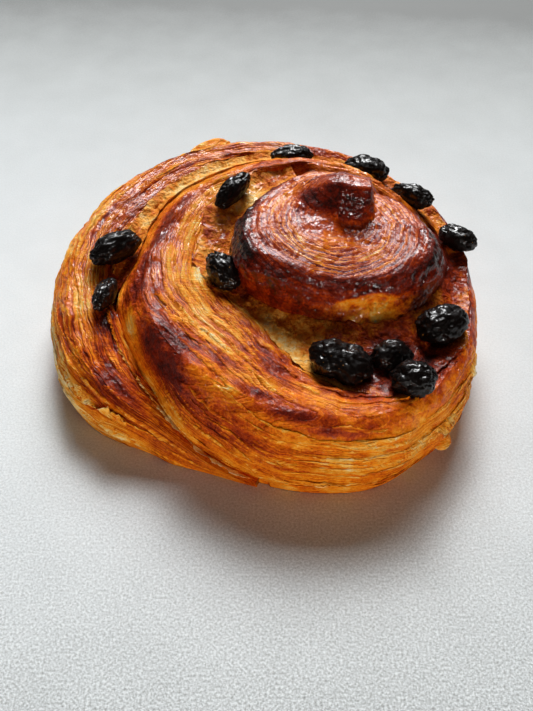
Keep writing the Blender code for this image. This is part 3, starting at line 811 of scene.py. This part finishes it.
def glazed(grid, turn, span, browning):
    """How much glaze lies on the strip: most along its crest and on its browned patches."""
    top = ease(span, -9, -1)
    gloss = 0.1 + 0.5 * top + 0.4 * browning + 0.35 * bumps(grid, 4 * MM, 41)
    gloss *= 1 - 0.76 * bell(turn, 252, 52) - 0.7 * bell(turn, 582, 28) - 0.4 * bell(turn, 338, 25)
    gloss += 0.35 * top * (bell(turn, 165, 22) + bell(turn, 505, 20))
    gloss *= 1 - 0.8 * bell(turn, 214, 14) * bell(span, -4, 6) - 0.5 * bell(turn, 572, 10)
    gloss *= 1 - 0.92 * bell(turn, 303, 16) * bell(span, 4.5, 5)
    return np.clip(gloss, 0.03, 0.9)


def strip():
    """The dough that winds out from the crown, with its layers' edges and blisters."""
    angles = spaced(STRIP_START + 3, STRIP_END, STRIP_STATIONS,
                    lambda a: ridge_radius(a) + 8 * MM * (1 + ease(a, 470, 500)))
    cuts = strip_sections(angles)
    crest = 2 + STRIP_FLANK + STRIP_SHOULDER
    foot = crest + STRIP_FACE
    grid, turn, across, along = surface_of(angles, cuts, crest, layered=0.3)
    span, seen = across / MM, np.minimum(1, 2 * cuts[..., 2])
    wander = 0.8 * MM * bumps(grid, 7 * MM, 81) + 0.22 * MM * bumps(grid, 1.5 * MM, 85)
    level = across - lift_at(turn, across) + wander
    browning = patched(turn, span, STRIP_BROWNING)
    flake = loosened(grid, turn, span, browning)
    fine, fine_tone = strata(along, level, FINE_SPACING, 14 * MM, 5)
    broad, broad_tone = strata(along, level, BROAD_SPACING, 22 * MM, 11)
    folds = crumple(along, level, 9 * MM, 2.2 * MM, 91)

    # Relief: terraces of layers, folds along them and blisters
    height = FINE_RISE * flake * (fine - 0.4) + BROAD_RISE * (0.4 + 0.6 * flake) * (broad - 0.4)
    height += FOLD_RISE * (folds - 0.6) * (0.5 + 0.5 * flake)
    height += 0.26 * MM * (1.25 - 0.7 * flake) * bumps(grid, BLISTER_SIZE, 21, 3) - 0.25 * MM
    grid = inside(raised(grid, seen * height))

    # Browning: the patches, paler edges of layers, darker creases and step feet as painted shade,
    # and a pale foot of the face
    bake = 0.35 + 0.8 * browning + 0.09 * bumps(grid, 11 * MM, 31) + 0.06 * bumps(grid, 3.5 * MM, 35)
    bake = np.minimum(bake + 0.08 * bell(across, 0, 6 * MM), 0.73)
    # Each layer gets its own tone; the raised edges of the layers are paler and the foot of each
    # step darker, as painted shade
    bake += 0.08 * broad_tone + 0.14 * fine_tone * flake - 0.36 * flake * (fine - 0.4)
    on_face = ease(span, 4, 8)
    # Darker in the folds' creases and at the foot of each broad step: painted shade
    bake += (0.14 + 0.12 * on_face) * (0.55 - folds) - (0.1 + 0.14 * on_face) * (broad - 0.45)
    above_foot = across[:, foot : foot + 1] - across
    bake -= 0.3 * bell(above_foot, 0, 1.4 * MM) * bell(turn, 225, 38)
    gloss = glazed(grid, turn, span, browning)
    values = dict(bake=bake, flake=flake, gloss=gloss, along=along / MM, across=level / MM)
    return pieces_of("dough_strip", grid, values, count=4), Skin(grid, angles, across, bake)


def pieces_of(name, grid, values, count):
    """Meshes that meet without a line, so that none of them gets too large."""
    normals = normals_of(grid, False)
    ends = np.linspace(0, len(grid) - 1, count + 1).astype(int)
    made = []
    for part, (first, last) in enumerate(zip(ends[:-1], ends[1:]), 1):
        rows = slice(first, last + 1)
        thing = as_thing(f"{name}_{part}", *shell(grid[rows]))
        give(thing, **{key: value[rows] for key, value in values.items()})
        thing.data.normals_split_custom_set_from_vertices(normals[rows].reshape(-1, 3).tolist())
        made.append(thing)
    return made


class Skin:
    """The strip's surface, to find a point on it by its turn and its length across."""

    def __init__(self, grid, angles, across, bake):
        self.angles, self.across = angles, across
        self.layers = np.concatenate([grid, normals_of(grid, False), bake[..., None]], 2)

    def at(self, turns, places):
        """Points, normals and browning at places given for each turn."""
        found = np.empty((*places.shape, self.layers.shape[2]))
        for i, turn in enumerate(turns):
            row = float(np.interp(turn, self.angles, np.arange(len(self.angles))))
            k = min(int(row), len(self.angles) - 2)
            lengths = mix(self.across[k], self.across[k + 1], row - k)
            cut = mix(self.layers[k], self.layers[k + 1], row - k)
            for c in range(cut.shape[1]):
                found[i, :, c] = np.interp(places[i], lengths, cut[:, c])
        return found[..., :3], found[..., 3:6], found[..., 6]

    def across_at(self, turn, radius):
        """The length across at which the face has come in to a radius."""
        k = int(np.argmin(abs(self.angles - turn)))
        radii = np.linalg.norm(self.layers[k, :, :2] - CENTRE[:2], axis=1)
        face = self.across[k] > 0
        return float(np.interp(-radius, -radii[face], self.across[k][face]))


FLAKE_STEPS, FLAKE_ROWS = 22, 4
FLAKE_THICKNESS, FLAKE_LIFT, FLAKE_SUNK = 0.1 * MM, 0.03 * MM, 0.15 * MM

# First and last angle, first and last place across (mm), number of flakes
FLAKE_ZONES = [
    (165, 250, 3, 18, 70), (222, 320, -26, -3, 90), (470, 596, -24, 6, 90), (330, 450, -20, -4, 30),
]

# First and last angle and number of the flakes along the outer seam
SEAM_FLAKES = (548, 603, 26)

# The largest ones: angle, place across, length, width and how far the free edge stands up (mm)
FLAKE_TIPS = [
    (575, -8, 9, 4, 1.6), (560, -20, 8, -3, 1.2), (300, -12, 7, -4, 1.8), (318, -6, 8, -3, 1.4),
    (552, -10, 22, -2.6, 0.9), (560, -14, 20, 2.4, 0.8), (568, -8, 16, -2.2, 0.8),
    (556, -18, 20, -2.4, 0.8), (578, -12, 14, -2, 0.7),
]


def layer_line(skin, turn, place, length):
    """Turns and lengths across of a line that follows the layers."""
    middle = skin.at([turn], np.array([[place]]))[0][0, 0]
    reach = math.degrees(length / float(np.linalg.norm(middle[:2] - CENTRE[:2])))
    turns = turn + np.linspace(-0.5, 0.5, FLAKE_STEPS) * reach
    return turns, place + lift_at(turns, place) - lift_at(turn, place)


def seam_line(skin, turn, reach):
    """Turns and lengths across of a line along the outer seam."""
    turns = turn + np.linspace(-0.5, 0.5, FLAKE_STEPS) * reach
    return turns, np.array([skin.across_at(one, slit_radius(one) + 0.8 * MM) for one in turns])


def flake(skin, line, width, rise, seed):
    """A thin sheet of crust held along a line, its other edge free and ragged."""
    turns, path = line
    u = np.linspace(0, 1, FLAKE_STEPS)
    v = np.linspace(0, 1, FLAKE_ROWS)

    def ripple(waves, kind):
        return lattice(u * waves, u * 0 + seed, u * 0, kind)

    ragged = 0.75 + 0.3 * ripple(5, 17) + 0.2 * ripple(14, 18)
    wide = width * np.sin(math.pi * np.clip(u, 0.04, 0.96)) ** 0.5 * ragged
    points, normals, bake = skin.at(turns, path[:, None] + wide[:, None] * v[None])
    curl = 0.6 + 0.5 * ripple(3, 19)
    stand = rise * curl[:, None] * v[None] ** 1.6 * np.sin(math.pi * u)[:, None] ** 0.4
    top = points + normals * (stand + FLAKE_LIFT)[..., None]
    thin = FLAKE_THICKNESS * (1 - 0.7 * v[None, :, None])
    under = top - normals * thin - normals * FLAKE_SUNK * (1 - v[None, :, None])
    grid = np.concatenate([under, top[:, ::-1]], axis=1)
    pale = 0.04 + 0.16 * v[None] * (0.5 + 0.5 * curl[:, None])
    # The underside is darker, as painted shade under the sheet; the top grows paler towards its free
    # edge
    tone = np.concatenate([bake + 0.12, (bake - pale)[:, ::-1]], axis=1)
    return grid, tone


def flakes(skin):
    """All the loose sheets of crust, scattered where the layers come apart."""
    pick = np.random.default_rng(5)
    grids, tones = [], []

    def keep(line, width, rise, seed, paler=0):
        """Adds a flake, its sections in the order that turns its faces outwards."""
        grid, tone = flake(skin, line, width, rise, seed)
        order = 1 if width > 0 else -1
        grids.append(grid[::order])
        tones.append(tone[::order] - paler)

    for low, high, near, far, count in FLAKE_ZONES:
        for _ in range(count):
            turn, place = pick.uniform(low, high), pick.uniform(near, far) * MM
            length, width = pick.uniform(6, 22) * MM, pick.uniform(0.5, 1.7) * MM
            side = 1 if pick.random() < 0.6 else -1
            rise = pick.uniform(0.1, 0.45) * MM
            keep(layer_line(skin, turn, place, length), side * width, rise, len(grids))
    for seed, (turn, place, length, width, rise) in enumerate(FLAKE_TIPS, 700):
        line = layer_line(skin, turn, place * MM, length * MM)
        keep(line, width * MM, rise * MM, seed, paler=0.1)
    for seed, turn in enumerate(np.linspace(*SEAM_FLAKES), 800):
        line = seam_line(skin, turn, pick.uniform(5, 10))
        width, rise = pick.uniform(0.7, 1.6) * MM, pick.uniform(0.6, 1) * MM
        keep(line, -width, rise, seed, paler=0.25)
    made, points = joined("dough_flakes", [shell(grid) for grid in grids])
    bake = np.concatenate([tone.ravel() for tone in tones])
    along, across = points[:, 0] / MM, points[:, 1] / MM
    give(made, bake=bake, flake=0.6, gloss=0.15, along=along, across=across)
    return made


def crown():
    """The middle of the spiral with its knob."""
    angles = np.arange(CROWN_STATIONS) * 360 / CROWN_STATIONS
    cuts = crown_sections(angles)
    grid, turn, across, _ = surface_of(angles, cuts, 2 + CROWN_WALL, layered=0.3, closed=True)
    span, seen = across / MM, np.minimum(1, 2 * cuts[..., 2])
    flat = (grid - CENTRE)[..., :2]
    radius = np.linalg.norm(flat, axis=2)
    along = np.radians(turn) * 20 * MM
    level = radius + RING_CLIMB * turn / 360
    on_top = ease(span, 5, 9)
    knob = knob_height(turn, np.where(across > 0, radius, 1)) / KNOB_HEIGHT
    in_front = ease(knob, 0.02, 0.2) * ease(crest_line(flat[..., 0]) - flat[..., 1], 0, 1.5 * MM)
    level += 0.8 * MM * bumps(grid, 7 * MM, 82) + 0.2 * MM * bumps(grid, 1.5 * MM, 86)
    ringed = bell(radius, RINGS_RADIUS, 6 * MM) * (0.45 + 0.55 * bell(turn, 265, 75))
    flake = np.clip(0.16 + 0.9 * on_top * ringed - in_front, 0, 1)
    fine, fine_tone = strata(along, level, RING_SPACING, 40 * MM, 6)
    leaning = grid[..., 2] + 0.2 * flat[..., 0]
    thick, thick_tone = strata(flat[..., 0], leaning, LEAF_SPACING, 7 * MM, 8)

    # Relief: blisters, rings, the knob's leaves and lumps, and crags where the wall is bare
    height = mix(0.42, 0.26, on_top) * MM * bumps(grid, BLISTER_SIZE, 22, 3)
    height += RING_RISE * (0.2 + flake) * (fine - 0.4) + LEAF_RISE * in_front * (thick - 0.4)
    height += 0.7 * MM * np.minimum(1, knob) * bumps(grid, 3.6 * MM, 24, 2)
    bare_from = 3.6 * bell(turn, 291, 22) + 1.3 * bumps(grid, 5 * MM, 29)
    bared = ease(bare_from - span, 0.2, 1.4) * bell(turn, 287, 28)
    crags = bumps(grid, 1.8 * MM, 28, 3)
    height += 0.8 * MM * bared * crags - 0.15 * MM
    grid = inside(raised(grid, seen * height, closed=True))

    # Browning: dark walls and rim, paler rings on top with painted shade at the feet of their steps,
    # and amber where the wall is bare, made paler as painted light
    banded = bell(radius, RINGS_RADIUS, 5 * MM) * (0.4 + 0.6 * bell(turn, 245, 80))
    bake = mix(0.78, 0.64 - 0.18 * banded, on_top) + 0.08 * bumps(grid, 7 * MM, 33)
    bake += 0.06 * bell(span, 6, 3)
    # The bare wall's amber is its own colour, made paler still as painted light standing in for the
    # bounce light this shaded wall misses
    bake += patched(turn, span, CROWN_BROWNING) - bared * (0.48 + 0.25 * crags)
    # The rings' raised edges are paler and the foot of each step darker, as painted shade
    bake += 0.2 * fine_tone * flake - 0.85 * flake * (fine - 0.45)
    # The knob's front and right end are darker, partly its darker glaze and partly painted shade of
    # the sides facing away from the window
    bake += in_front * (0.19 + 0.1 * thick_tone) + 0.15 * knob * ease(flat[..., 0], 6 * MM, 9 * MM)
    gloss = np.clip(0.95 - 0.1 * flake + 0.3 * bumps(grid, 5 * MM, 43), 0.3, 1)
    gloss *= 1 - 0.15 * ease(-span, -1, 2)
    middle = np.array([CENTRE[0], CENTRE[1], grid[:, -1, 2].mean()])
    made = as_thing("dough_crown", *shell(grid, middle))
    give(made, bake=bake, flake=flake, gloss=gloss, along=along / MM, across=level / MM)
    return made


def square_to(run, rise):
    """The direction square to a slope and upwards."""
    size = np.hypot(run, rise)
    return np.where(run > 0, -rise, rise) / size, abs(run) / size


def custard_sections(angle):
    """The custard's cut at every angle: up in the slit, over both lips and down again."""
    middle, side, lip = slit_radius(angle), slit_side(angle), inner_lip(angle)
    half = side - GAP
    edge, edge_height, _ = strip_inside(angle)
    foot = middle - side - lip
    deep = below_edge(edge_height)
    foot_height, deep_inside = inner_heights(angle)
    deep_inside = np.maximum(deep_inside, INNER_LIP_SHARE * foot_height)
    out_r, out_z = square_to(-lip, foot_height - deep_inside)
    inner_r = mix(foot + EDGE_GAP * out_r, middle - half, 0.1)
    inner_z = mix(foot_height + EDGE_GAP * out_z, deep_inside + GAP, 0.1)
    out_r, out_z = square_to(edge - middle - side, edge_height - deep)
    outer_r, outer_z = edge + GAP * out_r, edge_height + GAP * out_z
    t = np.linspace(0, 1, CUSTARD_COLUMNS)[None]
    shown = np.minimum(1, lip / WIDE_LIP) * np.sin(math.pi * t) ** 0.5
    return np.concatenate([
        stretch(middle - half, GAP, 0),
        stretch(middle + half, GAP, 0),
        stretch(middle + half, deep + GAP, 0),
        stretch(mix(outer_r, inner_r, t), outer_z + (inner_z - outer_z) * t**2, shown),
        stretch(middle - half, deep_inside + GAP, 0),
    ], axis=1)


def custard():
    """The custard in the slit, uneven on top and with thin edges that creep over its lips."""
    angles = np.linspace(CUSTARD_START, CLOSING_START, CUSTARD_STATIONS)
    angle = angles[:, None]
    cuts = custard_sections(angle)
    grid, turn, across, _ = surface_of(angles, cuts, CUSTARD_BURIED, layered=0.5)
    height = 0.5 * MM * bumps(grid, 3 * MM, 51, 3) - 0.35 * MM * np.abs(bumps(grid, 1.6 * MM, 57))
    half_turn = np.linspace(0, math.pi, CUSTARD_COLUMNS)
    free = np.concatenate([np.zeros(CUSTARD_BURIED), np.sin(half_turn) ** 0.5, [0]])
    grid = raised(grid, free * height)
    ends = np.concatenate([np.zeros(CUSTARD_BURIED), np.cos(half_turn), [0]])
    creep = np.sign(ends) * np.abs(ends) ** 5 * (1.2 + 0.6 * bumps(grid, 2.5 * MM, 59, 2)) * MM
    creep *= np.where(creep > 0, mix(0.7, 1.8, ease(outer_lip(angle), 1.5 * MM, 4 * MM)), 1)
    away = grid[..., :2] - CENTRE[:2]
    grid[..., :2] += away / np.linalg.norm(away, axis=2, keepdims=True) * creep[..., None]
    grid[..., 2] += np.where(creep > 0, 0.5, 0.8) * np.abs(creep)
    bake = 0.44 + patched(turn, across / MM, CUSTARD_BROWNING) + 0.14 * bumps(grid, 6 * MM, 53)
    bake -= 0.06 * ease(turn, 430, 470)
    gloss = np.clip(0.9 * bake - 0.3, 0.05, 0.4) * (1 - 0.9 * bell(turn, 293, 22))
    gloss += 0.5 * bell(turn, 148, 25)
    made = as_thing("custard_layer", *shell(grid))
    give(made, bake=bake, gloss=gloss)
    return made


def ball(sides, rings):
    """Points and faces of a ball of radius 1, with its poles on the X axis."""
    polar = np.linspace(0, math.pi, rings + 2)[1:-1][None, :]
    around = np.linspace(0, 2 * math.pi, sides, endpoint=False)[:, None]
    y, z = np.sin(polar) * np.cos(around), np.sin(polar) * np.sin(around)
    unit = np.stack(np.broadcast_arrays(np.cos(polar), y, z), -1)
    faces = []
    first, last = sides * rings, sides * rings + 1
    for i in range(sides):
        here, beyond = i * rings, (i + 1) % sides * rings
        for j in range(rings - 1):
            faces.append([here + j, here + j + 1, beyond + j + 1, beyond + j])
        faces.append([first, here, beyond])
        faces.append([last, beyond + rings - 1, here + rings - 1])
    return np.concatenate([unit.reshape(-1, 3), [[1, 0, 0], [-1, 0, 0]]]), faces


def turned(points, turn, tilt):
    """Points tilted about Y and then turned about Z."""
    turn, tilt = math.radians(turn), math.radians(tilt)
    spin = Matrix.Rotation(turn, 3, "Z") @ Matrix.Rotation(tilt, 3, "Y")
    return points @ np.array(spin).T


def scales():
    """The thick scales of crust that stand off the dough."""
    shells, tones = [], []
    flat, faces = ball(sides=56, rings=28)
    for number, measures in enumerate(SCALES):
        angle, radius, height, length, reach, thickness, tilt = measures
        half = np.array([reach, length, thickness]) * MM / 2
        shape = flat * half * (0.97 + 0.12 * bumps(flat + number, 0.5, 95, 2))[:, None]
        shape[:, 2] += 0.3 * MM * bumps(flat + 7 * number, 0.45, 97, 2) * (1 - flat[:, 0] ** 2)
        place = at(angle, radius * MM, height * MM)
        shells.append((turned(shape, angle, tilt) + place, faces))
        tones.append(0.34 + 0.12 * bumps(flat + number, 0.3, 99, 2))
    made, points = joined("dough_scales", shells)
    along, across = points[:, 0] / MM, points[:, 2] / MM
    give(made, bake=np.concatenate(tones), flake=0.7, gloss=0.2, along=along, across=across)
    return made


def raisin(number, measures):
    """One raisin, wrinkled all over."""
    angle, radius, height, length, width, thickness, turn, tilt, waist = measures
    flat, faces = ball(sides=72, rings=48)
    half = np.array([length, width, thickness]) * MM / 2
    seed = Vector((angle, radius, 0)) * SEED_SCALE
    coarse = np.array([noise.noise(Vector(p) * WRINKLE_SCALE + seed) for p in flat])
    warp = np.stack([bumps(flat + number, 0.8, 60 + k, 2) for k in range(3)], -1)
    fold = np.abs(bumps(flat + 0.25 * warp + number, 0.42, 71, 2))
    small = np.abs(bumps(flat + 0.2 * warp + number, 0.2, 75, 2))
    ways = np.random.default_rng(number).normal(size=(FACETS, 3))
    ways /= np.linalg.norm(ways, axis=1, keepdims=True)
    facing = np.maximum(flat @ ways.T, 0) ** FACET_SHARPNESS
    faceted = FACET_SIZE * facing.sum(axis=1) ** (-1 / FACET_SHARPNESS)
    swell = mix(1, np.clip(faceted, 0.85, 1.1), 0.6) + WRINKLE_DEPTH * coarse
    swell -= FOLD_DEPTH * np.exp(-fold / FOLD_WIDTH)
    swell -= SMALL_FOLD_DEPTH * np.exp(-small / SMALL_FOLD_WIDTH)
    pinch = 1 - waist * np.exp(-((flat[:, :1] / WAIST_WIDTH) ** 2))
    shape = flat * np.concatenate([np.ones_like(pinch), pinch, pinch], 1)
    shape = shape * (swell + 0.05)[:, None] * half
    points = turned(shape, turn, tilt) + at(angle, radius * MM, height * MM)
    return as_thing(f"raisin_{number:02d}_skin", inside(points), faces)


def floor():
    """The pale surface that the pastry lies on."""
    mesh = bpy.data.meshes.new("floor")
    size = 2.5
    corners = [(-size, -size, 0), (size, -size, 0), (size, size, 0), (-size, size, 0)]
    mesh.from_pydata(corners, [], [(0, 1, 2, 3)])
    made = placed("floor", mesh)
    s = Shader("pale surface")
    where = s.place()
    x, y = (s.node("SeparateXYZ", axis, {0: where}) for axis in (0, 1))
    cloud = s.noise(where, 60, 5)
    fine = s.noise(where, 1700, 3, 0.75)
    away = s.add(y, 0.02)
    # Painted light: brightest across the middle, darker far off, near the front and to the right
    lit = s.scaled(s.times(away, away), -21, 0.98)
    lit = s.add(lit, s.times(x, -0.8))
    near = s.math("MAXIMUM", s.scaled(y, -8.7, 0.26), 0)
    near = s.scaled(s.times(near, near), 2.1, 0.3)
    tone = s.add(lit, s.add(s.times(cloud, 0.2), s.times(fine, near)))
    s.surface(Base_Color=s.ramp(s.times(tone, 0.8), FLOOR), Roughness=0.7)
    s.surface(Normal=s.bump(s.add(cloud, fine), 0.3 * MM, 0.2))
    made.data.materials.append(s.material)


# Name, place, size, power (W), colour and whether the glaze mirrors it. All aim at the pastry.
LIGHT_AIM = Vector((0, 0, 0.02))
DAYLIGHT, LAMPLIGHT = (0.985, 0.995, 1.0), (1.0, 0.97, 0.94)
LIGHTS = [
    ("window", (0.08, 1.3, 1.32), (1.0, 0.95), 36, DAYLIGHT, True),
    ("pane", (0.02, 1.2, 1.23), (0.4, 0.35), 12, DAYLIGHT, True),
    ("ceiling", (0.0, 0.0, 1.6), (0.6, 0.6), 0.5, (1.0, 0.95, 0.88), True),
    ("front", (0.2, -1.1, 0.07), (1.8, 0.12), 5.0, (1.0, 0.78, 0.46), False),
    ("lamp", (0.3, -1.0, 0.16), (0.1, 0.07), 1.3, (1.0, 0.95, 0.9), True),
    ("lamp left", (-0.5, -0.9, 0.2), (0.06, 0.06), 0.5, LAMPLIGHT, True),
    ("lamp low", (0.0, -1.0, 0.08), (0.06, 0.05), 0.6, LAMPLIGHT, True),
]


def light(name, place, size, power, colour, mirrored):
    """A rectangular light."""
    lamp = bpy.data.lights.new(name, "AREA")
    lamp.shape = "RECTANGLE"
    lamp.size, lamp.size_y = size
    lamp.energy = power
    lamp.color = colour
    made = placed(name, lamp)
    made.location = place
    made.rotation_mode = "QUATERNION"
    made.rotation_quaternion = (LIGHT_AIM - Vector(place)).to_track_quat("-Z", "Y")
    made.visible_glossy = mirrored


def room():
    """A faint warm light from everywhere."""
    world = bpy.data.worlds.new("room")
    world.use_nodes = True
    background = world.node_tree.nodes["Background"]
    background.inputs["Color"].default_value = (1, 0.8, 0.6, 1)
    background.inputs["Strength"].default_value = 0.02
    bpy.context.scene.world = world


# Focal length and height of the photo in pixels, and the sensor's longer side in mm
FOCAL_LENGTH, PHOTO_HEIGHT, SENSOR = 900, 711, 36
CAMERA_TARGET, CAMERA_DISTANCE = Vector((0.00167, -0.0232, 0.015)), 0.236
CAMERA_DOWN = math.radians(48)


def camera():
    """The photo's view, from in front and above."""
    lens = bpy.data.cameras.new("camera")
    lens.sensor_width = SENSOR
    lens.lens = FOCAL_LENGTH / PHOTO_HEIGHT * SENSOR
    lens.clip_start = 0.01
    made = placed("camera", lens)
    back = Vector((0, -math.cos(CAMERA_DOWN), math.sin(CAMERA_DOWN)))
    made.location = CAMERA_TARGET + CAMERA_DISTANCE * back
    made.rotation_euler = (math.pi / 2 - CAMERA_DOWN, 0, 0)
    bpy.context.scene.camera = made


crust = crust_material("crust looks")
strips, skin_of_strip = strip()
for piece in [*strips, crown(), flakes(skin_of_strip), scales()]:
    dress(piece, crust, "dough", "dough")
dress(custard(), custard_material(), "custard", "custard")
skin = raisin_material()
for number, measures in enumerate(RAISINS, 1):
    dress(raisin(number, measures), skin, "raisin", f"raisin_{number:02d}")
floor()
for row in LIGHTS:
    light(*row)
room()
camera()
bpy.context.scene.view_settings.view_transform = "Standard"
